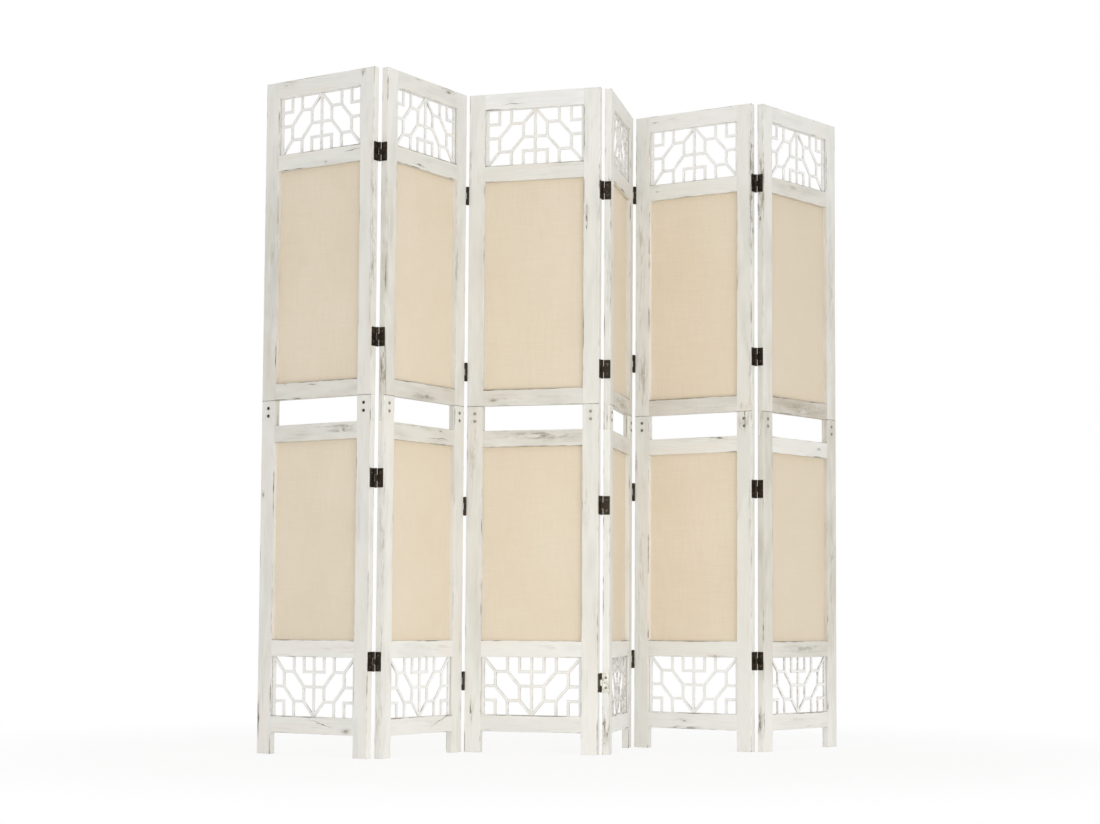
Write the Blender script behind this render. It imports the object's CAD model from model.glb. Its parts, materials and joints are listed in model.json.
"""The looks of a folding screen: whitewashed wood, stretched woven fabric and dark bronze hardware."""

import json
import math
import random

import bmesh
import bpy
from mathutils import Matrix, Vector, geometry, noise


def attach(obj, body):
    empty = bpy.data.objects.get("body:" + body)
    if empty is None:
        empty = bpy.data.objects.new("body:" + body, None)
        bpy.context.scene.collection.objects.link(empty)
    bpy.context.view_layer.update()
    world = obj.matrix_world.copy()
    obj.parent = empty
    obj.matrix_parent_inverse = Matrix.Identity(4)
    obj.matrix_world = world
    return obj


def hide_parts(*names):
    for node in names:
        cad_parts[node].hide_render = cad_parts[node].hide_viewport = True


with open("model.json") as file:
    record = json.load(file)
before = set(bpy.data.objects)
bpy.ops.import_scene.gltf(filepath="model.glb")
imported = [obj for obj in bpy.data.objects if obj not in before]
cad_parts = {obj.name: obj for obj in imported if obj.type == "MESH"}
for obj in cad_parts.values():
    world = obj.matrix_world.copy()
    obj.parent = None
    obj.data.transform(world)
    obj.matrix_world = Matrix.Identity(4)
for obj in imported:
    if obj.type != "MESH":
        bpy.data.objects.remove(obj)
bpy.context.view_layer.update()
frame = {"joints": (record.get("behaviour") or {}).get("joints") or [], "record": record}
random.seed(11)

# Driving sizes of the screen in metres, as its solids have them
MM = 0.001
PANELS = 6
PANEL_W = 345 * MM
PANEL_H = 1650 * MM
FRAME_T = 17 * MM
STILE_W = 42 * MM
RAIL_H = 41 * MM
LATTICE_H = 142 * MM
UPPER_FIELD_H = 526 * MM
SLOT_H = 62 * MM
FOOT_H = 52 * MM
JOINT_GAP = 0.1 * MM
REBATE_W = 8 * MM
FABRIC_SET = 11.2 * MM
LATTICE_T = 4 * MM
LATTICE_SET = 7 * MM
GROOVE_DEPTH = 8 * MM
BAR_W = 7 * MM
BORDER_W = 8 * MM
FABRIC_T = 0.8 * MM
FABRIC_GAP = 0.1 * MM
BEAD_W = 7 * MM
BEAD_SET = 0.5 * MM
BOLT_D = 5 * MM
BOLT_HEAD_D = 8 * MM
BOLT_HEAD_H = 1.8 * MM
BOLT_KEY_D = 3.4 * MM
BOLT_PITCH = 19 * MM
BOLT_DROP = 28 * MM
HINGE_L = 46 * MM
LEAF_T = 1.2 * MM
LEAF_INSET = 0.2 * MM
KNUCKLE_D = 6 * MM
PIN_D = 3.4 * MM
PIN_HEAD_D = 5 * MM
PIN_HEAD_H = 0.8 * MM
PIN_OUT = 3.5 * MM
PIN_SIDE = 2.2 * MM
KNUCKLE_GAP = 0.3 * MM
SCREW_PITCH = 24 * MM
SCREW_HEAD_D = 6 * MM
SCREW_HEAD_H = 0.6 * MM
HINGES_Z = [227 * MM, 661 * MM, 998 * MM, 1445 * MM]
HINGE_STAGGER = 52 * MM

# Heights, from the feet up
BOTTOM_RAIL_Z = FOOT_H
LOW_LATTICE_Z = BOTTOM_RAIL_Z + RAIL_H
LOW_RAIL_Z = LOW_LATTICE_Z + LATTICE_H
LOWER_FIELD_Z = LOW_RAIL_Z + RAIL_H
TOP_RAIL_Z = PANEL_H - RAIL_H
HIGH_LATTICE_Z = TOP_RAIL_Z - LATTICE_H
HIGH_RAIL_Z = HIGH_LATTICE_Z - RAIL_H
UPPER_FIELD_Z = HIGH_RAIL_Z - UPPER_FIELD_H
SLOT_TOP_Z = UPPER_FIELD_Z - RAIL_H
SLOT_Z = SLOT_TOP_Z - SLOT_H
SLOT_RAIL_Z = SLOT_Z - RAIL_H
LOWER_FIELD_H = SLOT_RAIL_Z - LOWER_FIELD_Z
OPENING_W = PANEL_W - 2 * STILE_W
LAP_T = FRAME_T / 2

# How finely the wood is cut, and how its edges are eased. Wear fades out within EDGE_REACH of an edge, or
# within SIDE_SHARE of a narrow side
EDGE_R = 0.8 * MM
EDGE_REACH = 4 * MM
SIDE_SHARE = 0.42
ARC_STEPS = 3
STATION_STEP = 8 * MM
END_EASE = 0.5 * MM
FLUSH_R = 0.15 * MM

# The photograph's camera: where it stands, where it looks, and its focal length in pixels of its frame
CAMERA_AT = Vector((-1.6338, -5.3743, 0.3352))
CAMERA_YAW, CAMERA_PITCH, CAMERA_ROLL = (math.radians(a) for a in (16.385, 4.383, 0.357))
FOCAL_PX, FRAME_PX, SENSOR_MM = 2240.2, 1100, 36
CAMERA_SHIFT = 0.03

# What the photograph shows of single boards, in millimetres. A rubbed mark is (along, across, half its
# length, half its width, strength), a knot is (along, across, size) and a crack is (along, across, half its
# length), with its slope where it crosses the grain. Stiles count along from the floor and across from the
# outer edge, rails along from the panel's left end and across from their lower edge. A tone is how far the
# wash is worn down to the grey wood all over, from 0 to 1, or below 0 where it is thicker and whiter.
SEEN = {}


def in_metres(numbers, lengths):
    """The same numbers, with as many of them as are lengths in metres, or None for None."""
    return numbers and tuple(v * MM for v in numbers[:lengths]) + numbers[lengths:]


def seen(panel, member, *marks, knot=None, crack=None, tone=0.0):
    marks = [in_metres(mark, 4) for mark in marks]
    SEEN[panel, member] = (in_metres(knot, 3), in_metres(crack, 3), marks, tone)


seen(1, "left_upper_stile", (1180, 22, 300, 20, 0.3), tone=0.11)
seen(1, "right_upper_stile", (1640, 36, 14, 8, 1.0), (1250, 6, 260, 8, 0.35), (1250, 2, 330, 3, 0.5),
     knot=(1638, 36, 4))
seen(1, "left_lower_stile", (88, 2, 46, 5, 1.0), (480, 20, 120, 14, 0.3), crack=(90, 2.5, 40))
seen(1, "right_lower_stile", (450, 2, 330, 3, 0.4), tone=0.05)
seen(1, "top_rail", (72, 33, 38, 9, 0.7))
seen(1, "slot_top_rail", (80, 39, 40, 3, 0.9), (164, 33, 16, 5, 0.5), (226, 12, 9, 5, 0.6),
     (150, 2, 110, 3, 0.6), crack=(160, 34, 12), tone=0.08)
seen(1, "slot_rail", (262, 25, 34, 9, 0.7), (215, 31, 60, 3, 0.6), (240, 20, 50, 3, 0.5),
     (140, 38, 60, 3, 0.7), knot=(274, 30, 2.5), tone=0.12)
seen(1, "bottom_rail", (190, 24, 60, 10, 0.4), (283, 8, 14, 7, 0.9), knot=(282, 10, 6),
     crack=(205, 24, 30, -0.25))
seen(2, "left_upper_stile", (910, 2, 56, 4, 1.0), (1200, 3, 260, 5, 0.6), crack=(905, 2.5, 50), tone=0.15)
seen(2, "right_upper_stile", (1250, 38, 150, 5, 0.55), tone=0.05)
seen(2, "left_lower_stile", (560, 3, 260, 4, 0.6), (110, 2, 90, 4, 0.6))
seen(2, "right_lower_stile", (112, 4, 22, 5, 0.8), tone=0.05)
seen(2, "top_rail", (130, 37, 18, 6, 0.8), (262, 33, 32, 9, 0.8), knot=(262, 32, 6), tone=0.08)
seen(2, "high_rail", (170, 22, 20, 8, 0.5), tone=0.1)
seen(2, "slot_top_rail", (165, 9, 70, 9, 0.8), knot=(180, 12, 6), tone=0.15)
seen(2, "slot_rail", (245, 12, 38, 5, 0.7), (150, 38, 110, 3, 0.8), crack=(235, 14, 34), tone=0.18)
seen(2, "bottom_rail", (225, 22, 40, 10, 0.5), (290, 39, 30, 4, 0.6), crack=(266, 34, 42, 0.36))
seen(3, "left_upper_stile", (1460, 3, 90, 5, 0.6), tone=0.06)
seen(3, "right_upper_stile", (1335, 35, 46, 7, 0.75), crack=(1325, 34, 30), tone=0.04)
seen(3, "left_lower_stile", (102, 17, 32, 6, 0.8), (740, 16, 110, 12, 0.6), crack=(103, 17, 26), tone=0.1)
seen(3, "right_lower_stile", (640, 34, 60, 8, 0.5), tone=0.08)
seen(3, "top_rail", tone=-0.3)
seen(3, "high_rail", tone=0.07)
seen(3, "slot_top_rail", (95, 12, 60, 11, 0.6), (230, 20, 60, 12, 0.3), knot=(70, 14, 7), tone=0.05)
seen(3, "slot_rail", (190, 24, 150, 16, 0.6), (215, 30, 60, 6, 0.3), tone=0.2)
seen(3, "low_rail", (217, 26, 30, 8, 0.4))
seen(3, "bottom_rail", (218, 8, 80, 7, 0.35))
seen(4, "left_upper_stile", (1400, 1, 30, 5, 0.9), (1150, 3, 180, 5, 0.5), tone=0.05)
seen(4, "right_upper_stile", tone=0.13)
seen(4, "left_lower_stile", (60, 1, 40, 4, 0.8), (500, 4, 220, 5, 0.5), crack=(55, 2, 26))
seen(4, "right_lower_stile", tone=0.06)
seen(4, "high_rail", tone=0.05)
seen(4, "slot_top_rail", (180, 18, 110, 18, 0.75), tone=0.1)
seen(4, "slot_rail", (180, 20, 110, 14, 0.4), tone=0.09)
seen(4, "low_rail", tone=-0.2)
seen(4, "bottom_rail", tone=-0.4)
seen(5, "left_upper_stile", (950, 20, 80, 16, 0.6), (1300, 16, 220, 16, 0.5), tone=-0.25)
seen(5, "right_upper_stile", (1430, 2, 150, 5, 0.9), (950, 4, 90, 5, 0.7), (872, 22, 10, 20, 0.6),
     crack=(1430, 2.5, 130))
seen(5, "left_lower_stile", (735, 2, 30, 4, 1.0), (400, 18, 300, 18, 0.4), tone=-0.14)
seen(5, "right_lower_stile", (832, 22, 30, 22, 0.75), (620, 3, 120, 5, 0.6), crack=(855, 20, 12))
seen(5, "top_rail", tone=-0.25)
seen(5, "high_rail", knot=(66, 22, 2), tone=-0.07)
seen(5, "slot_top_rail", (200, 18, 90, 12, 0.4), tone=0.03)
seen(5, "slot_rail", (240, 33, 40, 8, 0.5), crack=(246, 37, 20), tone=-0.08)
seen(5, "low_rail", (242, 1, 28, 6, 0.9))
seen(5, "bottom_rail", (135, 2, 85, 5, 0.9), (145, 21, 36, 8, 0.45), knot=(150, 20, 3), tone=-0.15)
seen(6, "left_upper_stile", (1440, 1, 120, 5, 0.9), crack=(1430, 2.5, 100), tone=0.12)
seen(6, "right_upper_stile", (1200, 20, 280, 16, 0.45), tone=0.16)
seen(6, "left_lower_stile", (78, 1, 46, 3, 0.6), crack=(78, 2.5, 46), tone=0.34)
seen(6, "right_lower_stile", (450, 20, 280, 16, 0.5), tone=0.34)
seen(6, "high_rail", (160, 25, 80, 10, 0.6), tone=0.2)
seen(6, "slot_top_rail", (180, 18, 120, 18, 0.85), tone=0.4)
seen(6, "low_rail", (180, 20, 110, 14, 0.6), tone=0.28)
seen(6, "bottom_rail", tone=0.05)

# The tone of a member in every panel, to which that of the single board is added
TONES = {"high_rail": 0.04, "slot_top_rail": 0.2, "slot_rail": 0.08, "left_upper_stile": 0.12,
         "right_upper_stile": 0.1, "left_lower_stile": 0.08, "right_lower_stile": 0.06, "bead": 0.15}
# The tone of each panel's cloth, which is not all from one dye bath
CLOTH_TONES = {1: 0.1, 2: 0.22, 3: 0.25, 4: 0.0, 5: 0.0, 6: 0.45}
# How far the wash covers a panel's lap bolts, from 0 to 1
BOLT_WASH = {1: 0.1, 2: 0.6, 3: 0.75, 4: 0.5, 5: 0.55, 6: 0.6}
# Each panel's two lattice boards: how rubbed their faces are, their tone, and how worn the edges of the
# upper and of the lower one are
LATTICE_LOOKS = {1: (0.1, -0.3, 0.45, 0.45), 2: (0.1, -0.3, 0.5, 0.35), 3: (0.15, -0.1, 0.5, 0.8),
                 4: (0.1, -0.3, 0.72, 0.85), 5: (0.1, -0.5, 0.5, 0.45), 6: (0.15, -0.3, 0.55, 0.9)}
# The one hinge leaf that is worn bright: its panel, and which of the hinges it is, from the floor up
BRIGHT_LEAF = (4, 0)


def srgb(red, green, blue):
    """A colour as it looks on a screen, 0 to 255, as the numbers that a shader takes."""
    def linear(value):
        share = value / 255
        return share / 12.92 if share <= 0.04045 else ((share + 0.055) / 1.055) ** 2.4
    return (linear(red), linear(green), linear(blue), 1.0)


# Where the panels stand

JOINTS = {j["name"]: Vector(j["pos_m"]) for j in frame["joints"]}
FEET = {m["name"]: Vector(m["pos_m"]) for m in frame["record"]["mounts"]}


def pins_behind(joint):
    return joint % 2 == 1


def pin_y(joint):
    return FRAME_T + PIN_OUT if pins_behind(joint) else -PIN_OUT


def end_of(panel, side):
    """What places a panel's left (0) or right (1) end, a hinge joint or a foot: where it is in the panel's
    own frame and in the shared one."""
    joint = panel - 1 + side
    if 0 < joint < PANELS:
        x = PANEL_W + PIN_SIDE if side else -PIN_SIDE
        return Vector((x, pin_y(joint), 0)), JOINTS["fold_%d" % joint]
    x = PANEL_W - STILE_W / 2 if side else STILE_W / 2
    return Vector((x, FRAME_T / 2, 0)), FEET["last_foot" if side else "first_foot"]


def place_of(panel):
    """The matrix from a panel's own frame, whose origin is its front left foot, to the shared frame."""
    left, left_there = end_of(panel, 0)
    right, right_there = end_of(panel, 1)
    own, there = right - left, right_there - left_there
    turn = Matrix.Rotation(math.atan2(there.y, there.x) - math.atan2(own.y, own.x), 4, "Z")
    return Matrix.Translation(left_there - turn @ left) @ turn


# Meshes

# The knot or crack of a board that has none, well off its end
NOWHERE = (-10.0, 0.0, 5 * MM)
# What a material reads at each point of a shape: vectors, and plain numbers
VECTORS, NUMBERS = ("grain", "chance", "knot", "crack"), ("rub", "tone", "slope")


class Look:
    """What is the same all over one board: three chance numbers, a knot, a crack and its tone."""

    def __init__(self, knot=None, crack=None, tone=0.0):
        self.chance = tuple(random.random() for _ in range(3))
        self.knot, self.crack, self.tone = knot or NOWHERE, (crack or NOWHERE)[:3], tone
        self.slope = sum((crack or NOWHERE)[3:])


class Shape:
    """The points and faces of one piece, with what its material reads there."""

    def __init__(self):
        self.points, self.edges, self.faces, self.face_edges = [], [], [], []
        self.read = {label: [] for label in VECTORS + NUMBERS}

    def point(self, place, grain, look, edge=0.0, rub=0.0, tone=1.0):
        self.points.append(tuple(place))
        self.edges.append(edge)
        for label, value in zip(VECTORS, (grain, look.chance, look.knot, look.crack)):
            self.read[label].extend(value)
        for label, value in zip(NUMBERS, (rub, look.tone * tone, look.slope)):
            self.read[label].append(value)

    def face(self, corners, edge=None):
        """edge is how rubbed the whole face is, or None where its points say it."""
        self.faces.append(tuple(corners))
        self.face_edges.append(edge)

    def skin(self, first, count, rings):
        """Closes rings of count points each, from point number first on, into one solid."""
        for ring in range(rings - 1):
            for i in range(count):
                a = first + ring * count + i
                b = first + ring * count + (i + 1) % count
                self.face((a, b, b + count, a + count))
        last = first + (rings - 1) * count
        self.face(range(first + count - 1, first - 1, -1))
        self.face(range(last, last + count))

    def mesh(self, name, place):
        """The shape as a mesh, moved by the matrix place."""
        mesh = bpy.data.meshes.new(name)
        mesh.from_pydata(self.points, [], self.faces)
        for label in VECTORS:
            mesh.attributes.new(label, "FLOAT_VECTOR", "POINT").data.foreach_set("vector", self.read[label])
        for label in NUMBERS:
            mesh.attributes.new(label, "FLOAT", "POINT").data.foreach_set("value", self.read[label])
        corners = [self.edges[i] if edge is None else edge
                   for face, edge in zip(self.faces, self.face_edges) for i in face]
        mesh.attributes.new("edge", "FLOAT", "CORNER").data.foreach_set("value", corners)
        work = bmesh.new()
        work.from_mesh(mesh)
        bmesh.ops.remove_doubles(work, verts=work.verts, dist=0.001 * MM)
        bmesh.ops.recalc_face_normals(work, faces=work.faces)
        work.to_mesh(mesh)
        work.free()
        mesh.transform(place)
        mesh.shade_smooth()
        return mesh


def add_object(name, data):
    thing = bpy.data.objects.new(name, data)
    bpy.context.scene.collection.objects.link(thing)
    return thing


def make_piece(kind, shape, panel, node, own_name=None):
    """Puts a shape drawn in a panel's own frame into the scene, in place of its CAD node."""
    material, slot = KINDS[kind]
    name = "%s_%s" % (kind, own_name or node)
    piece = add_object(name, shape.mesh(name, PLACES[panel]))
    piece.data.materials.append(material)
    normals = piece.modifiers.new("flat_faces", "WEIGHTED_NORMAL")
    normals.keep_sharp = True
    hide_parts(node)
    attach(piece, "panel_%d" % panel)
    return piece


def outline(corners, parts):
    """The points of a closed section as (across, thick, edge). A corner is (across, thick, radius, edge),
    and parts says into how many lengths the side after each corner is cut."""
    groups = []
    for i, (across, thick, radius, edge) in enumerate(corners):
        here = Vector((across, thick))
        if not radius:
            groups.append([(here, edge)])
            continue
        back = here - Vector(corners[i - 1][:2])
        ahead = Vector(corners[(i + 1) % len(corners)][:2]) - here
        reach_back, reach_ahead = (min(EDGE_REACH, SIDE_SHARE * side.length) for side in (back, ahead))
        back.normalize()
        ahead.normalize()
        middle = here - back * radius + ahead * radius
        group = [(here - back * reach_back, 0.0)]
        for step in range(ARC_STEPS + 1):
            angle = math.pi / 2 * step / ARC_STEPS
            group.append((middle - ahead * radius * math.cos(angle) + back * radius * math.sin(angle), edge))
        group.append((here + ahead * reach_ahead, 0.0))
        groups.append(group)
    ring = []
    for i, group in enumerate(groups):
        ring += group
        end, start = group[-1][0], groups[(i + 1) % len(groups)][0][0]
        ring += [(end.lerp(start, part / parts[i]), 0.0) for part in range(1, parts[i])]
    return [(p.x, p.y, edge) for p, edge in ring]


# Wooden members

# Stiles show none of their tone below PALE_FOOT and above PALE_TOP, and all of it from PALE_FADE further on
PALE_FOOT, PALE_TOP, PALE_FADE = 100 * MM, 1520 * MM, 220 * MM
# How rubbed edges are on the whole, and how much that changes slowly and quickly along them
WEAR_MEAN, WEAR_SLOW, WEAR_QUICK = 0.42, 0.8, 0.4


class Board:
    """A wooden member: where it lies in its panel, how its grain looks and where it is rubbed."""

    def __init__(self, panel, name, to_panel, width, span):
        self.to_panel, self.width = to_panel, width
        self.upright = name.endswith("stile")
        knot, crack, marks, tone = SEEN.get((panel, name), (None, None, [], 0.0))
        chance_knot, chance_crack = self.chance_spot(span, 0.14, 2, 5), self.chance_spot(span, 0.12, 8, 25)
        self.look = Look(knot or chance_knot, crack or chance_crack, TONES.get(name, 0.0) + tone)
        front = marks + self.chance_marks(span, 1, 0.3)
        self.marks = {"front": front, "back": self.chance_marks(span, 2, 0.45)}

    def chance_spot(self, span, odds, smallest, largest):
        """Now and then a place on the board and its size, and otherwise None."""
        spot = (random.uniform(*span), random.uniform(0.1, 0.9) * self.width,
                random.uniform(smallest, largest) * MM)
        return spot if random.random() < odds else None

    def chance_marks(self, span, count, strongest):
        """A few faint rubbed places, the same at each run."""
        marks = []
        for _ in range(count):
            along = random.uniform(*span)
            across = random.uniform(0, self.width)
            length = random.uniform(14, 70) * MM
            breadth = random.uniform(3, 10) * MM
            marks.append((along, across, length, breadth, random.uniform(0.1, strongest)))
        return marks

    def rub_at(self, along, across, thick):
        total = 0.0
        side = "front" if thick < FRAME_T * 0.8 else "back"
        for mark_along, mark_across, length, breadth, strength in self.marks[side]:
            far = ((along - mark_along) / length) ** 2 + ((across - mark_across) / breadth) ** 2
            total += strength * math.exp(-far)
        return min(total, 1.0)

    def tone_at(self, along):
        """The share of a board's tone at one place: stiles are whiter near their feet and tops."""
        if not self.upright:
            return 1.0
        return max(0.0, min(1.0, (along - PALE_FOOT) / PALE_FADE, (PALE_TOP - along) / PALE_FADE))

    def wear_at(self, corner, along):
        """How rubbed an edge of the board is, from 0 to 1."""
        slow = noise.noise((along * 9, self.look.chance[0] * 90, corner * 5.3))
        quick = noise.noise((along * 48, self.look.chance[1] * 90, corner * 3.7))
        return min(1.0, max(0.0, WEAR_MEAN + WEAR_SLOW * slow + WEAR_QUICK * quick))

    def loft(self, shape, rings):
        """Adds rings of (along, across, thick, edge) to a shape, as one solid."""
        first = len(shape.points)
        for ring in rings:
            for along, across, thick, edge in ring:
                shape.point(self.to_panel(along, across, thick), (along, across, thick), self.look,
                            edge, self.rub_at(along, across, thick), self.tone_at(along))
        shape.skin(first, len(rings[0]), len(rings))


def beside_rail(height):
    """Whether a rail meets the stiles flush at this height."""
    return any(low <= height <= low + RAIL_H for rails in RAILS.values() for _, low, _, _ in rails)


def stations(start, end):
    count = max(1, round((end - start) / STATION_STEP))
    return [start + (end - start) * i / count for i in range(count + 1)]


# Into how many lengths each side of a stile's section is cut, from its front round to its outer edge
STILE_PARTS = [6, 1, 1, 1, 1, 1, 1, 1, 6, 2]
GROOVE_FRONT, GROOVE_BACK = LATTICE_SET - JOINT_GAP, LATTICE_SET + LATTICE_T + JOINT_GAP


def stile_ring(board, kind, along, inset=0.0, front_inset=0.0, end_wear=0.0):
    """A stile's section at one height: plain, cut for the lattice or the fabric, or half of a lap."""
    front = LAP_T + JOINT_GAP / 2 if kind == "back_half" else 0.0
    back = LAP_T - JOINT_GAP / 2 if kind == "front_half" else FRAME_T
    depths = GROOVE_FRONT, GROOVE_BACK, FABRIC_SET
    if kind in ("back_half", "front_half"):
        depths = [front + (back - front) * share for share in (0.45, 0.5, 0.55)]
    front, back = front + inset + front_inset, back - inset
    outer, inner = inset, STILE_W - inset
    groove = inner - (GROOVE_DEPTH if kind == "lattice" else 0.0)
    ledge = inner - (REBATE_W if kind == "fabric" else 0.0)
    wear = [max(end_wear, board.wear_at(corner, along)) for corner in range(4)]
    radius = [EDGE_R * (0.6 + w) for w in wear]
    if beside_rail(along):
        wear[1] = wear[2] = 0.0
        radius[1] = radius[2] = FLUSH_R
    corners = [(outer, front, radius[0], wear[0]), (inner, front, radius[1], wear[1])]
    for depth, step in zip(depths, ((inner, groove), (groove, inner), (inner, ledge))):
        corners += [(across, depth, 0, 0) for across in step]
    corners += [(ledge, back, radius[2], wear[2]), (outer, back, radius[3], wear[3])]
    return [(along, *point) for point in outline(corners, STILE_PARTS)]


# How rubbed the two edges are that meet in front of a lap, and how far up and down that fades
LAP_LINE, LAP_FADE = 1.0, 0.6 * MM


def lap_line(ring):
    """The same ring with a rubbed front, as on the two edges that meet in front of a lap."""
    return [(along, across, thick, max(edge, LAP_LINE) if thick < LAP_T / 4 else edge)
            for along, across, thick, edge in ring]


def stile_rings(board, start, stretches):
    """The rings of a stile from its start through its stretches of (kind, end), with eased ends and laps."""
    rings = []
    for i, (kind, end) in enumerate(stretches):
        heights = stations(start, end)
        first, last = i == 0, i == len(stretches) - 1
        shoulder_below = not first and stretches[i - 1][0] == "back_half"
        lap_above = last and kind == "front_half"
        if first:
            rings.append(stile_ring(board, kind, start, inset=END_EASE, end_wear=0.8))
            heights[0] += END_EASE
        elif shoulder_below:
            rings.append(lap_line(stile_ring(board, kind, start, front_inset=END_EASE, end_wear=0.9)))
            heights[0] += END_EASE
            heights.insert(1, heights[0] + LAP_FADE)
        if last:
            heights[-1] -= END_EASE
        if lap_above:
            heights.insert(-1, heights[-1] - LAP_FADE)
        for height in heights:
            at_start, at_end = height == heights[0], height == heights[-1]
            beside_lap = (shoulder_below and at_start) or (lap_above and at_end)
            near_end = beside_lap or (first and at_start) or (last and at_end)
            ring = stile_ring(board, kind, height, end_wear=0.7 if near_end else 0.0)
            rings.append(lap_line(ring) if beside_lap else ring)
        if last:
            ring = stile_ring(board, kind, end, inset=END_EASE, end_wear=0.8)
            rings.append(lap_line(ring) if lap_above else ring)
        start = end
    return rings


# The stiles from their lower end up: where they start, then what each stretch is cut for and where it ends
STILES = {
    "upper": (SLOT_Z, ("back_half", SLOT_TOP_Z), ("plain", UPPER_FIELD_Z - REBATE_W),
              ("fabric", HIGH_RAIL_Z + REBATE_W), ("plain", HIGH_LATTICE_Z - GROOVE_DEPTH),
              ("lattice", TOP_RAIL_Z + GROOVE_DEPTH), ("plain", PANEL_H)),
    "lower": (0.0, ("plain", LOW_LATTICE_Z - GROOVE_DEPTH), ("lattice", LOW_RAIL_Z + GROOVE_DEPTH),
              ("plain", LOWER_FIELD_Z - REBATE_W), ("fabric", SLOT_RAIL_Z + REBATE_W),
              ("plain", SLOT_Z - JOINT_GAP), ("front_half", SLOT_TOP_Z - JOINT_GAP)),
}


def stile_places(side):
    """Maps a stile's own (along, across, thick) into the panel's frame."""
    if side == "left":
        return lambda along, across, thick: (across, thick, along)
    return lambda along, across, thick: (PANEL_W - across, thick, along)


def make_stiles(panel, level):
    shape = Shape()
    start, *stretches = STILES[level]
    for side in ("left", "right"):
        name = "%s_%s_stile" % (side, level)
        board = Board(panel, name, stile_places(side), STILE_W, (start, stretches[-1][1]))
        board.loft(shape, stile_rings(board, start, stretches))
    make_piece("wood", shape, panel, "panel_%d_%s_stiles" % (panel, level))


def side_corners(kind, at, inward):
    """The corners of a rail's side from front to back, without its front one."""
    if kind == "lattice":
        cut = at + inward * GROOVE_DEPTH
        return [(at, GROOVE_FRONT, 0), (cut, GROOVE_FRONT, 0), (cut, GROOVE_BACK, 0), (at, GROOVE_BACK, 0),
                (at, FRAME_T, 1)]
    if kind == "fabric":
        cut = at + inward * REBATE_W
        return [(at, FABRIC_SET, 0), (cut, FABRIC_SET, 0), (cut, FRAME_T, 1)]
    return [(at, FRAME_T, 1)]


# How much more the front upper edge of a rail is rubbed below a lattice or fabric
LEDGE_WEAR = 0.35


def rail_ring(board, below, above, along, inset=0.0):
    """A rail's section: below and above say what its lower and upper side are cut for."""
    upper = side_corners(above, RAIL_H, -1)
    lower = side_corners(below, 0.0, 1)
    plan = [(0.0, 0.0, 1), (RAIL_H, 0.0, 1)] + upper + lower[::-1]
    corners = []
    for i, (across, thick, eased) in enumerate(plan):
        wear = board.wear_at(i, along)
        if i == 1 and above != "plain":
            wear = min(1.0, wear + LEDGE_WEAR)
        across += inset if across < RAIL_H / 2 else -inset
        thick += inset if thick < FRAME_T / 2 else -inset
        corners.append((across, thick, EDGE_R * (0.6 + wear) if eased else 0, wear if eased else 0))
    parts = [1] * len(corners)
    parts[0] = 6
    parts[1 + len(upper)] = 6
    return [(along, *point) for point in outline(corners, parts)]


RAILS = {
    "upper": [("top_rail", TOP_RAIL_Z, "lattice", "plain"),
              ("high_rail", HIGH_RAIL_Z, "fabric", "lattice"),
              ("slot_top_rail", SLOT_TOP_Z, "plain", "fabric")],
    "lower": [("slot_rail", SLOT_RAIL_Z, "fabric", "plain"),
              ("low_rail", LOW_RAIL_Z, "lattice", "fabric"),
              ("bottom_rail", BOTTOM_RAIL_Z, "plain", "lattice")],
}


def rail_places(lower_edge):
    return lambda along, across, thick: (along, thick, lower_edge + across)


def make_rails(panel, level):
    shape = Shape()
    start, end = STILE_W + JOINT_GAP / 2, PANEL_W - STILE_W - JOINT_GAP / 2
    for rail, lower_edge, below, above in RAILS[level]:
        board = Board(panel, rail, rail_places(lower_edge), RAIL_H, (start, end))
        rings = [rail_ring(board, below, above, start, inset=END_EASE / 2)]
        inner = stations(start + END_EASE / 2, end - END_EASE / 2)
        rings += [rail_ring(board, below, above, along) for along in inner]
        rings.append(rail_ring(board, below, above, end, inset=END_EASE / 2))
        board.loft(shape, rings)
    make_piece("wood", shape, panel, "panel_%d_%s_rails" % (panel, level))


BEAD_FRONT = FABRIC_SET + FABRIC_T + 2 * FABRIC_GAP


def bead_ring(board, along, end_slope):
    """A bead's section, sheared towards its mitred end by end_slope."""
    depth = FRAME_T - BEAD_SET - BEAD_FRONT
    wear = [board.wear_at(corner, along) for corner in (2, 3)]
    ease = EDGE_R * 0.5
    corners = [(0, 0, ease, 0.1), (BEAD_W, 0, ease, 0.1),
               (BEAD_W, depth, 2 * ease, wear[0]), (0, depth, ease, wear[1])]
    return [(along + end_slope * across, across, thick, edge)
            for across, thick, edge in outline(corners, [1, 1, 1, 1])]


def bead_places(kind, x, z, width, height):
    """Maps a bead's own (along, across, thick) into the panel's frame, for each side of its frame."""
    return {
        "low": lambda along, across, thick: (x + along, BEAD_FRONT + thick, z + across),
        "high": lambda along, across, thick: (x + along, BEAD_FRONT + thick, z + height - across),
        "left": lambda along, across, thick: (x + across, BEAD_FRONT + thick, z + along),
        "right": lambda along, across, thick: (x + width - across, BEAD_FRONT + thick, z + along),
    }[kind]


FIELDS = {"lower": (LOWER_FIELD_Z, LOWER_FIELD_H), "upper": (UPPER_FIELD_Z, UPPER_FIELD_H)}


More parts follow.
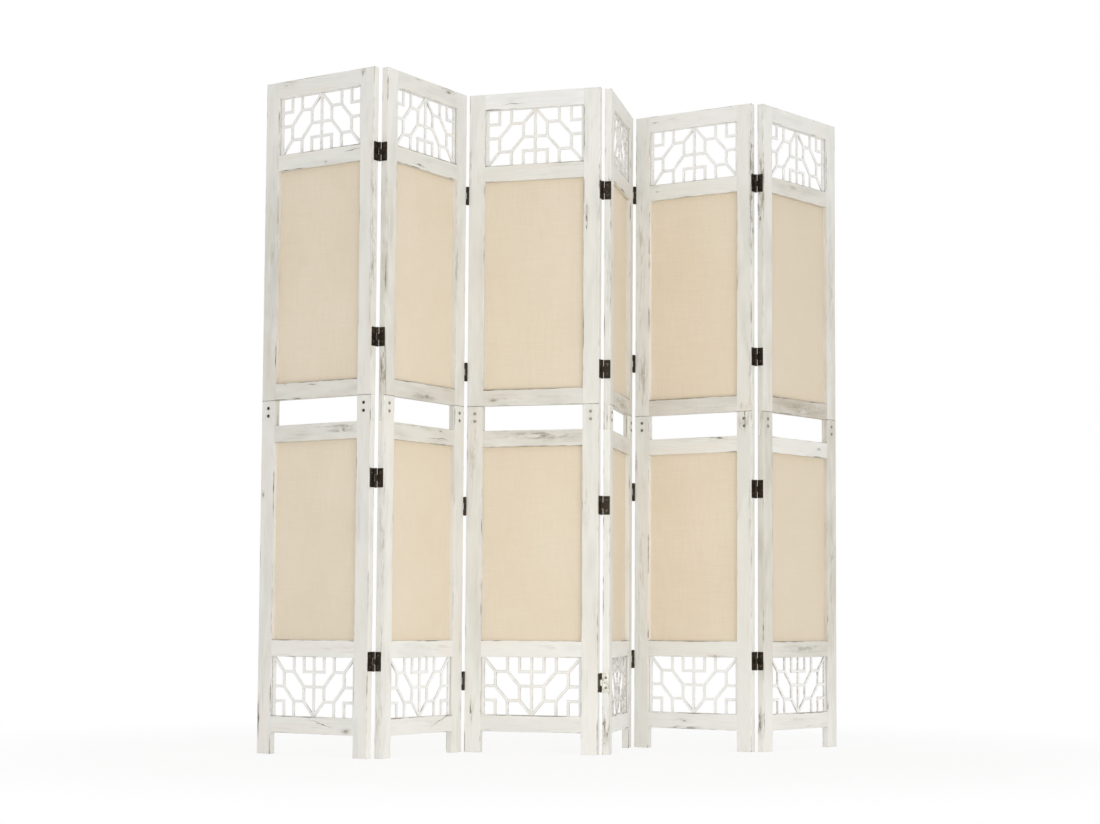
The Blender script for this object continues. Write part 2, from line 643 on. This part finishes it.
def make_beads(panel):
    shape = Shape()
    outer = REBATE_W - JOINT_GAP
    for field_z, field_h in FIELDS.values():
        x, z = STILE_W - outer, field_z - outer
        width, height = OPENING_W + 2 * outer, field_h + 2 * outer
        for kind in ("low", "high", "left", "right"):
            length = width if kind in ("low", "high") else height
            board = Board(panel, "bead", bead_places(kind, x, z, width, height), BEAD_W, (0, length))
            inner = stations(BEAD_W + MM, length - BEAD_W - MM)
            rings = [bead_ring(board, JOINT_GAP, 1)]
            rings += [bead_ring(board, along, 0) for along in inner]
            rings.append(bead_ring(board, length - JOINT_GAP, -1))
            board.loft(shape, rings)
    make_piece("wood", shape, panel, "panel_%d_fabric_beads" % panel)


# Lattice boards: the left half of the pattern, as bars between the points of a grid, which is then mirrored

UPRIGHT_BARS = [((1, 3), (1, 4)), ((2, 3), (2, 4)), ((1, 1), (1, 2)), ((2, 0), (2, 1)),
                ((3, 2), (3, 3)), ((3, 0), (3, 1)), ((4, 0), (4, 4))]
LEVEL_BARS = [((0, 3), (1, 3)), ((2, 3), (3, 3)), ((0, 2), (1, 2)), ((1, 1), (2, 1)),
              ((3, 2), (4, 2)), ((3, 1), (4, 1))]
SLANTED_BARS = [((3, 3), (4, 4)), ((1, 2), (2, 3)), ((2, 1), (3, 2)), ((0, 0), (1, 1))]
LATTICE_COLUMNS, LATTICE_ROWS = 8, 4
BAR_EASE = 0.45 * MM
# How worn the eased edges and the cut sides of the boards are at most
LATTICE_EDGE, LATTICE_SIDE = 0.95, 0.6


def grid_point(point):
    return Vector((BORDER_W / 2 + point[0] * (OPENING_W - BORDER_W) / LATTICE_COLUMNS,
                   point[1] * LATTICE_H / LATTICE_ROWS))


def bar_corners(ends, extra):
    """The four corners of a bar between two grid points."""
    start, end = grid_point(ends[0]), grid_point(ends[1])
    along = (end - start).normalized()
    side = Vector((-along.y, along.x)) * BAR_W / 2
    start, end = start - along * extra, end + along * extra
    return [start - side, end - side, end + side, start + side]


def rectangle(left, low, right, high):
    return [Vector(p) for p in ((left, low), (right, low), (right, high), (left, high))]


def lattice_outline():
    """The board's outline, as the triangles that all its bars and its border cover together."""
    hidden = GROOVE_DEPTH - JOINT_GAP
    right, top = OPENING_W, LATTICE_H
    shapes = [rectangle(-hidden, -hidden, right + hidden, 0),
              rectangle(-hidden, top, right + hidden, top + hidden),
              rectangle(-hidden, 0, BORDER_W, top), rectangle(right - BORDER_W, 0, right + hidden, top)]
    bars = [bar_corners(ends, BAR_W / 2) for ends in UPRIGHT_BARS + LEVEL_BARS]
    bars += [bar_corners(ends, 0) for ends in SLANTED_BARS]
    shapes += bars + [[Vector((right - p.x, p.y)) for p in reversed(bar)] for bar in bars]
    points = [p for shape in shapes for p in shape]
    faces = [list(range(4 * i, 4 * i + 4)) for i in range(len(shapes))]
    found, _, triangles, _, _, sources = geometry.delaunay_2d_cdt(points, [], faces, 1, 0.001 * MM)
    return found, [triangle for triangle, source in zip(triangles, sources) if source]


def solid(points, faces, depth, ease, rubbed=1.0, rubbed_sides=0.0):
    """A flat outline given depth along its normal, with eased edges: (points, [(face, edge)]). rubbed says
    how worn the eased edges are, and rubbed_sides the cut sides between them."""
    work = bmesh.new()
    bottom = [work.verts.new((p[0], p[1], 0)) for p in points]
    top = [work.verts.new((p[0], p[1], depth)) for p in points]
    for face in faces:
        work.faces.new([bottom[i] for i in reversed(face)])
        work.faces.new([top[i] for i in face])
    rims = [edge for edge in work.edges if len(edge.link_faces) == 1]
    lower = {v: i for i, v in enumerate(bottom)}
    for edge in [e for e in rims if e.verts[0] in lower]:
        a, b = (lower[v] for v in edge.verts)
        work.faces.new((bottom[a], bottom[b], top[b], top[a]))
    bmesh.ops.recalc_face_normals(work, faces=work.faces)
    eased = bmesh.ops.bevel(work, geom=rims, offset=ease, segments=2, profile=0.5, affect="EDGES",
                            clamp_overlap=True)
    round_faces = set(eased["faces"])
    work.verts.index_update()
    work.normal_update()

    def wear_of(face):
        if face in round_faces:
            return rubbed
        return rubbed_sides if abs(face.normal.z) < 0.5 else 0.0

    points = [v.co.copy() for v in work.verts]
    faces = [([v.index for v in f.verts], wear_of(f)) for f in work.faces]
    work.free()
    return points, faces


def add_solid(shape, made, place, look, rub_of=None, wear=1.0):
    """Adds a solid to a shape, moved by the matrix place. Its grain runs along its own X axis, and wear is
    the share of its edges' wear that it shows."""
    first = len(shape.points)
    for point in made[0]:
        shape.point(place @ point, point, look, rub=rub_of(point) if rub_of else 0.0)
    for face, edge in made[1]:
        shape.face([first + i for i in face], edge * wear)


def make_lattices(panel):
    """The lower board is the upper one turned over, so its pattern stands on its head."""
    shape = Shape()
    rubbed, tone, *wears = LATTICE_LOOKS[panel]
    upper = Matrix.Translation((STILE_W, LATTICE_SET + LATTICE_T, HIGH_LATTICE_Z)) \
        @ Matrix.Rotation(math.pi / 2, 4, "X")
    lower = Matrix.Translation((STILE_W, LATTICE_SET, LOW_LATTICE_Z + LATTICE_H)) \
        @ Matrix.Rotation(-math.pi / 2, 4, "X")
    for place, wear in zip((upper, lower), wears):
        look = Look(tone=tone)

        def rub_of(point):
            spots = noise.noise((point.x * 40, point.y * 40, look.chance[0] * 50))
            return max(0.0, rubbed * (0.5 + spots))

        add_solid(shape, LATTICE, place, look, rub_of, wear)
    make_piece("wood", shape, panel, "panel_%d_lattices" % panel)


# Fabric

SHEET_COLUMNS, SHEET_ROWS = 36, 64
SHEET_T = 0.5 * MM


def fabric_depth(across, up, chance):
    """How far the stretched fabric gives from its flat plane: a slight belly, and ripples off its edges."""
    belly = (4 * across * (1 - across)) * (4 * up * (1 - up))
    edge = min(across, 1 - across, up, 1 - up)
    pull = math.exp(-edge * 16) * min(1.0, edge * 30)
    ripple = noise.noise((across * 26, up * 46, chance * 60)) * pull
    slow = noise.noise((across * 3, up * 4, chance * 90)) * belly
    return (0.5 * belly + 0.7 * ripple + 0.5 * slow) * MM


def make_fabric(panel, level):
    shape = Shape()
    field_z, field_h = FIELDS[level]
    reach = REBATE_W - FABRIC_GAP
    width, height = OPENING_W + 2 * reach, field_h + 2 * reach
    look = Look(tone=CLOTH_TONES[panel])
    for row in range(SHEET_ROWS + 1):
        for column in range(SHEET_COLUMNS + 1):
            across, up = column / SHEET_COLUMNS, row / SHEET_ROWS
            x, z = STILE_W - reach + across * width, field_z - reach + up * height
            y = FABRIC_SET + FABRIC_GAP + fabric_depth(across, up, look.chance[0])
            shape.point((x, y, z), (x, z, 0), look)
    for row in range(SHEET_ROWS):
        for column in range(SHEET_COLUMNS):
            a = row * (SHEET_COLUMNS + 1) + column
            shape.face((a, a + 1, a + SHEET_COLUMNS + 2, a + SHEET_COLUMNS + 1))
    piece = make_piece("fabric", shape, panel, "panel_%d_fabrics" % panel, "panel_%d_%s" % (panel, level))
    piece.modifiers.clear()
    thick = piece.modifiers.new("cloth_thickness", "SOLIDIFY")
    thick.thickness = SHEET_T
    thick.offset = -1


# Metal

def hexagon(width):
    """The distance from the middle to the edge of a hexagon, by angle."""
    side = math.pi / 3
    return lambda angle: width / 2 / math.cos((angle + side / 2) % side - side / 2)


def cross(reach, half_width):
    """The distance from the middle to the edge of a cross recess, by angle."""
    def edge(angle):
        c, s = abs(math.cos(angle)) + 1e-9, abs(math.sin(angle)) + 1e-9
        return max(min(reach / c, half_width / s), min(half_width / c, reach / s))
    return edge


def turned(rings, segments=24):
    """A solid turned round the Z axis, from rings of (height, radius, edge): (points, [(face, edge)]). A
    ring that isn't round has a function of the angle as its radius."""
    points, faces = [], []
    for height, radius, _ in rings:
        for i in range(segments):
            angle = 2 * math.pi * i / segments
            reach = radius(angle) if callable(radius) else radius
            points.append(Vector((reach * math.cos(angle), reach * math.sin(angle), height)))
    for ring in range(len(rings) - 1):
        edge = max(rings[ring][2], rings[ring + 1][2])
        for i in range(segments):
            a, b = ring * segments + i, ring * segments + (i + 1) % segments
            faces.append(([a, b, b + segments, a + segments], edge))
    faces.append((list(range(segments - 1, -1, -1)), 0.0))
    last = (len(rings) - 1) * segments
    faces.append((list(range(last, last + segments)), 0.0))
    return points, faces


def lap_bolt():
    """A bolt through a lap, along Y from the front. It has a low domed head with a hexagon socket on both
    faces, whose rings are drawn for a head of drawn_height and then scaled."""
    radius, key, mouth = BOLT_HEAD_D / 2, hexagon(BOLT_KEY_D), hexagon(BOLT_KEY_D * 1.07)
    drawn_height = 1.8
    head = [(0.45, key, 0.0), (1.72, key, 0.0), (drawn_height, mouth, 0.9), (1.74, 0.62 * radius, 0.2),
            (1.45, 0.86 * radius, 0.3), (0.95, 0.99 * radius, 0.9), (0.1, radius, 0.3),
            (0.1, BOLT_D / 2, 0.0)]
    front = [(-height / drawn_height * BOLT_HEAD_H, reach, edge) for height, reach, edge in head]
    back = [(FRAME_T - height, reach, edge) for height, reach, edge in reversed(front)]
    return turned(front + back)


def hinge_screw():
    """A screw's low head with a cross recess, standing on Z = 0."""
    radius, recess, mouth = SCREW_HEAD_D / 2, cross(1.7 * MM, 0.42 * MM), cross(1.85 * MM, 0.52 * MM)
    rings = [(-0.9 * MM, 0.5 * radius, 0.0), (0.0, 0.9 * radius, 0.0), (0.05 * MM, radius, 0.4),
             (0.35 * MM, 0.97 * radius, 0.9), (0.56 * MM, 0.72 * radius, 0.3), (SCREW_HEAD_H, mouth, 0.5),
             (0.52 * MM, recess, 0.0), (-0.5 * MM, recess, 0.0)]
    return turned(rings, 32)


def hinge_pin():
    """A pin along Z with a small domed head at both ends, its middle at the origin."""
    radius, end = PIN_HEAD_D / 2, HINGE_L / 2
    half = [(end + PIN_HEAD_H, 0.45 * radius, 0.4), (end + 0.85 * PIN_HEAD_H, 0.82 * radius, 0.6),
            (end + 0.4 * PIN_HEAD_H, radius, 0.9), (end + JOINT_GAP, radius, 0.2),
            (end + JOINT_GAP, PIN_D / 2, 0.0)]
    return turned([(-height, reach, edge) for height, reach, edge in half] + half[::-1])


KNUCKLE_L = HINGE_L / 3 - KNUCKLE_GAP / 2
OUTER_KNUCKLES = [(-HINGE_L / 2, KNUCKLE_L), (HINGE_L / 2 - KNUCKLE_L, KNUCKLE_L)]
MIDDLE_KNUCKLE = [(-HINGE_L / 6 + KNUCKLE_GAP / 2, HINGE_L / 3 - KNUCKLE_GAP)]
KNUCKLE_STEPS = 28


def knuckle_outline():
    """The rolled end of a leaf, seen along its pin: a short flat strip that runs into a round barrel."""
    radius = KNUCKLE_D / 2
    near, far = -PIN_SIDE, -PIN_SIDE + LEAF_T
    start = math.atan2(-math.sqrt(radius ** 2 - far ** 2), far)
    end = math.atan2(-math.sqrt(radius ** 2 - near ** 2), near) + 2 * math.pi
    arc = [start + (end - start) * i / KNUCKLE_STEPS for i in range(KNUCKLE_STEPS + 1)]
    return [(near, -PIN_OUT), (far, -PIN_OUT)] + [(radius * math.cos(a), radius * math.sin(a)) for a in arc]


def leaf_parts(knuckles):
    """The eased solids of a hinge leaf, each with its matrix into the hinge's frame, whose Z is the pin."""
    width, corner = FRAME_T - LEAF_INSET, 1.2 * MM
    plate = [(corner, 0), (HINGE_L - corner, 0), (HINGE_L, corner), (HINGE_L, width), (0, width),
             (0, corner)]
    upright = Matrix.Translation((-PIN_SIDE, -PIN_OUT - width, -HINGE_L / 2)) \
        @ Matrix(((0, 0, 1, 0), (0, 1, 0, 0), (1, 0, 0, 0), (0, 0, 0, 1)))
    barrel = knuckle_outline()
    parts = [(solid(plate, [range(len(plate))], LEAF_T, 0.25 * MM), upright)]
    for low, length in knuckles:
        knuckle = solid(barrel, [range(len(barrel))], length, 0.3 * MM)
        parts.append((knuckle, Matrix.Translation((0, 0, low))))
    return parts


def hinge_places(joint, side):
    """The matrices of a joint's hinges in the frame of the panel that it ends on that side."""
    drop = HINGE_STAGGER if joint in (2, 3) else 0
    face = 1 if pins_behind(joint) else -1
    end = PANEL_W + PIN_SIDE if side == "right" else -PIN_SIDE
    flip = Matrix.Diagonal((1 if side == "right" else -1, face, 1, 1))
    return [Matrix.Translation((end, pin_y(joint), z - drop)) @ flip for z in HINGES_Z]


def panel_hinges(panel):
    """The matrices of a panel's hinges, each with its knuckles and whether its leaf is worn bright."""
    found = []
    if panel < PANELS:
        found += [(place, OUTER_LEAF, False) for place in hinge_places(panel, "right")]
    if panel > 1:
        for i, place in enumerate(hinge_places(panel - 1, "left")):
            found.append((place, MIDDLE_LEAF, (panel, i) == BRIGHT_LEAF))
    return found


def make_hinge_leaves(panel):
    shape = Shape()
    for place, leaf, bright in panel_hinges(panel):
        for part, own in leaf:
            add_solid(shape, part, place @ own, PLAIN, lambda point: 1.0 if bright else 0.0)
    make_piece("metal", shape, panel, "panel_%d_hinge_leaves" % panel)


def any_turn():
    return Matrix.Rotation(random.uniform(0, math.pi), 4, "Z")


def make_fasteners(panel):
    shape = Shape()
    along_y = Matrix.Rotation(-math.pi / 2, 4, "X")
    for x in (STILE_W / 2, PANEL_W - STILE_W / 2):
        for side in (-1, 1):
            lap = Matrix.Translation((x, 0, SLOT_TOP_Z - BOLT_DROP + side * BOLT_PITCH / 2))
            add_solid(shape, BOLT, lap @ along_y @ any_turn(), WASHED[panel])
    on_leaf = Matrix.Translation((-PIN_SIDE + LEAF_T, -PIN_OUT - (FRAME_T - LEAF_INSET) / 2, 0)) \
        @ Matrix.Rotation(math.pi / 2, 4, "Y")
    for place, *_ in panel_hinges(panel):
        for z in (-SCREW_PITCH / 2, SCREW_PITCH / 2):
            add_solid(shape, SCREW, place @ Matrix.Translation((0, 0, z)) @ on_leaf @ any_turn(), PLAIN)
    make_piece("metal", shape, panel, "panel_%d_fasteners" % panel)


def make_hinge_pins(joint):
    shape = Shape()
    for place in hinge_places(joint, "right"):
        add_solid(shape, PIN, place, PLAIN)
    make_piece("metal", shape, joint, "joint_%d_hinge_pins" % joint)


# Materials

def operator(operation):
    """A method of a value that gives its sum, product or the like with another one."""
    return lambda value, other: value.tree.math(operation, value, other)


class Value:
    """What a node gives out. A sum or product of it with a value or number is a node of its own."""

    def __init__(self, tree, socket):
        self.tree, self.socket = tree, socket

    __add__, __sub__ = operator("ADD"), operator("SUBTRACT")
    __mul__, __truediv__ = operator("MULTIPLY"), operator("DIVIDE")


class Tree:
    """Builds one material's nodes, from numbers, tuples and values."""

    def __init__(self, owner):
        owner.use_nodes = True
        self.owner, self.tree = owner, owner.node_tree
        self.tree.nodes.clear()

    def add(self, kind, inputs, output=0, **settings):
        node = self.tree.nodes.new(kind)
        for key, value in settings.items():
            setattr(node, key, value)
        for key, value in inputs.items():
            if isinstance(value, Value):
                self.tree.links.new(value.socket, node.inputs[key])
            else:
                node.inputs[key].default_value = value
        return Value(self, node.outputs[output]) if node.outputs else None

    def attribute(self, name, output="Vector"):
        return self.add("ShaderNodeAttribute", {}, output, attribute_name=name)

    def math(self, operation, a, b=0.0):
        return self.add("ShaderNodeMath", {0: a, 1: b}, operation=operation)

    def largest(self, first, *others):
        for other in others:
            first = self.math("MAXIMUM", first, other)
        return first

    def stretch(self, vector, factors, start=(0, 0, 0)):
        return self.add("ShaderNodeVectorMath", {0: vector, 1: factors, 2: start}, operation="MULTIPLY_ADD")

    def split(self, vector):
        node = self.tree.nodes.new("ShaderNodeSeparateXYZ")
        self.tree.links.new(vector.socket, node.inputs[0])
        return [Value(self, socket) for socket in node.outputs]

    def noise(self, place, scale, detail=2.0, roughness=0.5, distortion=0.0):
        """Noise whose features are about 1 / scale long, in each direction of place."""
        inputs = {"Scale": 1.0, "Detail": detail, "Roughness": roughness, "Distortion": distortion}
        return self.add("ShaderNodeTexNoise", {"Vector": self.stretch(place, scale), **inputs})

    def ramp(self, value, low, high, to_low=0.0, to_high=1.0):
        return self.add("ShaderNodeMapRange", {0: value, 1: low, 2: high, 3: to_low, 4: to_high},
                        interpolation_type="SMOOTHSTEP")

    def mix(self, share, first, second):
        """Mixes two colours, each a value or (red, green, blue) as it looks on a screen, 0 to 255."""
        first, second = (srgb(*c) if isinstance(c, tuple) else c for c in (first, second))
        return self.add("ShaderNodeMix", {0: share, 6: first, 7: second}, 2, data_type="RGBA")

    def bump(self, height, strength, distance):
        return self.add("ShaderNodeBump", {"Height": height, "Strength": strength, "Distance": distance})

    def surface(self, **values):
        """Ends the tree in one Principled shader. The names have an underscore for each space."""
        inputs = {key.replace("_", " "): value for key, value in values.items()}
        self.add("ShaderNodeOutputMaterial", {"Surface": self.add("ShaderNodeBsdfPrincipled", inputs)})
        return self.owner


# How far apart the growth rings of the wood are, and the threads of the cloth
RING_STEP, THREAD = 4.6 * MM, 0.9 * MM


def whitewashed_wood():
    """Softwood under an off-white wash that is thin on the grain and rubbed away on edges and marks."""
    t = Tree(bpy.data.materials.new("whitewashed_wood"))
    grain, chance = t.attribute("grain"), t.attribute("chance")
    edge, rub, tone, slope = (t.attribute(name, "Fac") for name in ("edge", "rub", "tone", "slope"))
    place = t.stretch(chance, (40, 40, 40), grain)
    tint = t.noise(place, (5, 22, 22))
    patch = t.noise(place, (9, 34, 34))
    bend = t.noise(place, (6, 26, 26))
    cloud = t.noise(place, (24, 90, 90), 3, 0.6)
    streak = t.noise(place, (8, 230, 230), 4, 0.62)
    scratch = t.noise(place, (26, 620, 620), 3, 0.55, 0.4)
    fibre = t.noise(place, (22, 1500, 1500), 3, 0.6)
    smear = t.noise(place, (30, 110, 110), 4, 0.6, 0.6)

    along, across, thick = t.split(grain)
    knot_along, knot_across, knot_size = t.split(t.attribute("knot"))
    off_along, off_across = (along - knot_along) * 0.4, across - knot_across
    off = t.math("SQRT", off_along * off_along + off_across * off_across) / knot_size
    knot = t.math("EXPONENT", off * off * -0.5)
    core = t.ramp(cloud * 0.5 + off, 1.0, 0.35) * 0.8

    pith_chance, depth_chance, _ = t.split(chance)
    from_pith = across - (pith_chance * -0.09 + 0.066)
    under = thick + (depth_chance * 0.05 + 0.012)
    radius = t.math("SQRT", from_pith * from_pith + under * under)
    radius = radius + bend * 0.016 + along * 0.03 + knot * 0.014
    wave = t.math("SINE", radius * (2 * math.pi / RING_STEP))
    ring = t.math("POWER", wave * 0.5 + 0.5, 3.0)

    crack_along, crack_across, crack_reach = t.split(t.attribute("crack"))
    from_crack = along - crack_along
    down = t.math("ABSOLUTE", from_crack) / crack_reach
    wiggle = (cloud - 0.5) * (16 * MM) + (across - (slope * from_crack + crack_across))
    crack = t.ramp(down * (0.9 * MM) + t.math("ABSOLUTE", wiggle), 1.7 * MM, 0.8 * MM)

    rub = rub * t.ramp(smear, 0.32, 0.62, 0.4, 1.2)
    bare = t.largest(rub, t.ramp(patch, 0.52, 0.76, 0.0, 0.35), knot * 0.8)
    crisp = t.ramp(fibre, 0.36, 0.62, 0.45, 1.3)
    smudge = t.ramp(bare * 0.4 + smear, 0.55, 0.95) * (bare * 0.75 + 0.05) * crisp
    grey = t.ramp(bare * 0.26 + (ring * 0.05 + streak), 0.50, 0.88) * (bare * 0.5 + 0.09) * crisp
    torn = t.ramp(bare * 0.24 + scratch, 0.72, 0.82) * t.ramp(bare, 0.45, 1.0)
    worn = cloud * 1.4 + (edge - 0.85) + fibre * 0.3
    edge_grey = t.ramp(worn, 0.35, 0.8, 0.0, 0.6)
    edge_worn = t.ramp(worn, 0.66, 1.05)
    dark = t.largest(torn, crack, core, edge_worn)

    wash = t.mix(t.ramp(tint, 0.36, 0.5), (225, 224, 218), (232, 231, 225))
    wash = t.mix(t.ramp(tint, 0.5, 0.68), wash, (232, 228, 221))
    wash = t.mix(tone * t.ramp(patch, 0.3, 0.7, 0.7, 1.3), wash, (166, 154, 130))
    wash = t.mix(tone * -1.0, wash, (250, 250, 252))
    wash = t.mix(ring * 0.05, wash, (190, 185, 173))
    wash = t.mix(t.ramp(fibre, 0.5, 0.72, 0.0, 0.075), wash, (182, 177, 166))
    colour = t.mix(smudge, wash, (178, 171, 156))
    colour = t.mix(grey, colour, t.mix(ring, (166, 161, 149), (138, 132, 119)))
    colour = t.mix(edge_grey, colour, (172, 167, 156))
    colour = t.mix(dark * 0.74, colour, t.mix(fibre, (74, 67, 56), (128, 117, 99)))

    height = dark * -0.9 + (streak * 0.5 + (fibre * 0.5 + ring * 0.3))
    return t.surface(Base_Color=colour, Roughness=t.ramp(grey + dark, 0.0, 1.0, 0.58, 0.85),
                     Normal=t.bump(height, 0.35, 0.35 * MM))


def woven_fabric():
    """Plain woven cream cloth with slightly uneven threads."""
    t = Tree(bpy.data.materials.new("woven_fabric"))
    grain = t.attribute("grain")
    place = t.stretch(t.attribute("chance"), (9, 9, 9), grain)
    across, up, _ = t.split(grain)
    warp, weft = (t.math("ABSOLUTE", t.math("SINE", way * (math.pi / THREAD))) for way in (across, up))
    over = t.add("ShaderNodeTexChecker", {"Vector": grain, "Scale": 1 / THREAD}, "Fac")
    rise = over * (warp - weft) + weft
    warp_slub, weft_slub = t.noise(place, (900, 16, 1)), t.noise(place, (16, 900, 1))
    slub = over * (warp_slub - weft_slub) + weft_slub
    cloud = t.noise(place, (7, 5, 1), 3)
    colour = t.mix(t.ramp(cloud, 0.3, 0.7), (234, 221, 200), (237, 225, 206))
    colour = t.mix(t.attribute("tone", "Fac"), colour, (208, 194, 172))
    colour = t.mix(t.ramp(slub, 0.35, 0.7, 0.0, 0.30), colour, (206, 188, 158))
    colour = t.mix(t.ramp(rise, 0.0, 0.6, 0.35, 0.0), colour, (176, 158, 128))
    return t.surface(Base_Color=colour, Roughness=0.92, Sheen_Weight=0.12, Sheen_Roughness=0.5,
                     Specular_IOR_Level=0.25, Normal=t.bump(slub * 0.5 + rise, 0.5, 0.18 * MM))


def aged_bronze():
    """Dark bronze-coloured plating, rubbed to a warmer metal on edges and in small specks."""
    t = Tree(bpy.data.materials.new("aged_bronze"))
    own = t.add("ShaderNodeTexCoord", {}, "Object")
    edge, rub, tone = (t.attribute(name, "Fac") for name in ("edge", "rub", "tone"))
    speck = t.noise(own, (420, 420, 420), 3, 0.65)
    cloud = t.noise(own, (90, 90, 90))
    worn = t.ramp(cloud * 0.25 + (edge * 0.16 + speck), 0.72, 0.86)
    colour = t.mix(cloud, (34, 29, 22), (60, 50, 37))
    colour = t.mix(worn * 0.8, colour, (158, 140, 108))
    bright = t.ramp(edge * -0.35 + (speck * 0.9 + rub), 1.2, 1.42)
    steel = t.mix(t.ramp(cloud, 0.35, 0.65), (184, 182, 168), (226, 224, 214))
    colour = t.mix(bright, colour, steel)
    washed = t.ramp(speck * 0.9 + tone, 0.7, 1.25, 0.0, 0.85)
    colour = t.mix(washed, colour, (176, 172, 160))
    return t.surface(Base_Color=colour, Metallic=washed * -0.7 + 0.75,
                     Roughness=t.ramp(cloud, 0.3, 0.7, 0.38, 0.52), Normal=t.bump(speck, 0.25, 0.2 * MM))


# Floor, light and camera

# How strongly the world lights the screen, and the floor: its size, and its share of plain white, which is
# FLOOR_WHITE near the screen and all of it from FADE_END on
LIT_WORLD = 0.78
FLOOR_SIZE = 30.0
FLOOR_WHITE = 0.78
FADE_START, FADE_END = 1.0, 2.0


def seen_directly(t):
    """1 for what the camera sees, also in a mirror or through glass, and 0 for light on other surfaces."""
    path = t.tree.nodes.new("ShaderNodeLightPath")
    rays = ("Is Camera Ray", "Is Glossy Ray", "Is Transmission Ray")
    return t.largest(*(Value(t, path.outputs[ray]) for ray in rays))


def make_world():
    world = bpy.data.worlds.new("studio")
    bpy.context.scene.world = world
    t = Tree(world)
    strength = t.add("ShaderNodeMapRange", {0: seen_directly(t), 3: LIT_WORLD, 4: 1.0})
    light = t.add("ShaderNodeBackground", {"Color": (1, 1, 1, 1), "Strength": strength})
    t.add("ShaderNodeOutputWorld", {"Surface": light})


def make_floor():
    """A pale floor that keeps the screen's shadow and fades to white away from it."""
    material = bpy.data.materials.new("floor")
    t = Tree(material)
    own = t.add("ShaderNodeTexCoord", {}, "Object")
    distance = t.add("ShaderNodeVectorMath", {0: own}, "Value", operation="LENGTH")
    far = t.ramp(distance, FADE_START, FADE_END, FLOOR_WHITE, 1.0)
    direct = seen_directly(t)
    lit = t.add("ShaderNodeBsdfDiffuse", {"Color": t.mix(direct, (241, 241, 240), (255, 255, 255)),
                                          "Normal": t.bump(t.noise(own, (60, 60, 60)), 0.02, MM)})
    white = t.add("ShaderNodeEmission", {"Color": (1, 1, 1, 1), "Strength": 1.0})
    shader = t.add("ShaderNodeMixShader", {0: far * direct, 1: lit, 2: white})
    t.add("ShaderNodeOutputMaterial", {"Surface": shader})
    mesh = bpy.data.meshes.new("floor")
    half = FLOOR_SIZE / 2
    corners = [(-half, -half, 0), (half, -half, 0), (half, half, 0), (-half, half, 0)]
    mesh.from_pydata(corners, [], [(0, 1, 2, 3)])
    mesh.materials.append(material)
    add_object("floor", mesh)


def soft_light(name, at, towards, width, height, watts):
    lamp = bpy.data.lights.new(name, "AREA")
    lamp.shape = "RECTANGLE"
    lamp.size, lamp.size_y, lamp.energy = width, height, watts
    light = add_object(name, lamp)
    light.location = at
    light.rotation_euler = (Vector(towards) - Vector(at)).to_track_quat("-Z", "Y").to_euler()


def make_camera():
    camera = add_object("camera", bpy.data.cameras.new("camera"))
    bpy.context.scene.camera = camera
    lens = camera.data
    lens.sensor_width, lens.lens = SENSOR_MM, FOCAL_PX / FRAME_PX * SENSOR_MM
    lens.shift_y = CAMERA_SHIFT
    level = Vector((math.cos(CAMERA_YAW), -math.sin(CAMERA_YAW), 0))
    ahead = Vector((math.sin(CAMERA_YAW), math.cos(CAMERA_YAW), math.tan(CAMERA_PITCH))).normalized()
    right = math.cos(CAMERA_ROLL) * level + math.sin(CAMERA_ROLL) * level.cross(ahead)
    turn = Matrix((right, right.cross(ahead), -ahead)).transposed().to_4x4()
    camera.matrix_world = Matrix.Translation(CAMERA_AT) @ turn


# The whole scene

PLACES = {panel: place_of(panel) for panel in range(1, PANELS + 1)}
KINDS = {"wood": (whitewashed_wood(), "whitewashed_wood"), "fabric": (woven_fabric(), "fabric"),
         "metal": (aged_bronze(), "aged_bronze")}
LATTICE = solid(*lattice_outline(), LATTICE_T, BAR_EASE, LATTICE_EDGE, LATTICE_SIDE)
OUTER_LEAF, MIDDLE_LEAF = leaf_parts(OUTER_KNUCKLES), leaf_parts(MIDDLE_KNUCKLE)
BOLT, SCREW, PIN = lap_bolt(), hinge_screw(), hinge_pin()
PLAIN = Look()
WASHED = {panel: Look(tone=wash) for panel, wash in BOLT_WASH.items()}

for panel in PLACES:
    make_stiles(panel, "upper")
    make_stiles(panel, "lower")
    make_rails(panel, "upper")
    make_rails(panel, "lower")
    make_lattices(panel)
    make_beads(panel)
    make_fabric(panel, "upper")
    make_fabric(panel, "lower")
    make_hinge_leaves(panel)
    make_fasteners(panel)
    if panel < PANELS:
        make_hinge_pins(panel)

bpy.context.scene.view_settings.view_transform = "Standard"
make_world()
make_floor()
make_camera()
soft_light("front", (-0.6, -3.4, 0.5), (-0.1, 0, 0.5), 4.6, 0.8, 22)
soft_light("low", (0.45, -2.8, 0.12), (0.25, 0, -1.2), 4.0, 0.15, 28)
soft_light("back", (0, 4.0, 1.2), (0, 0, 0.6), 4.0, 1.6, 24)
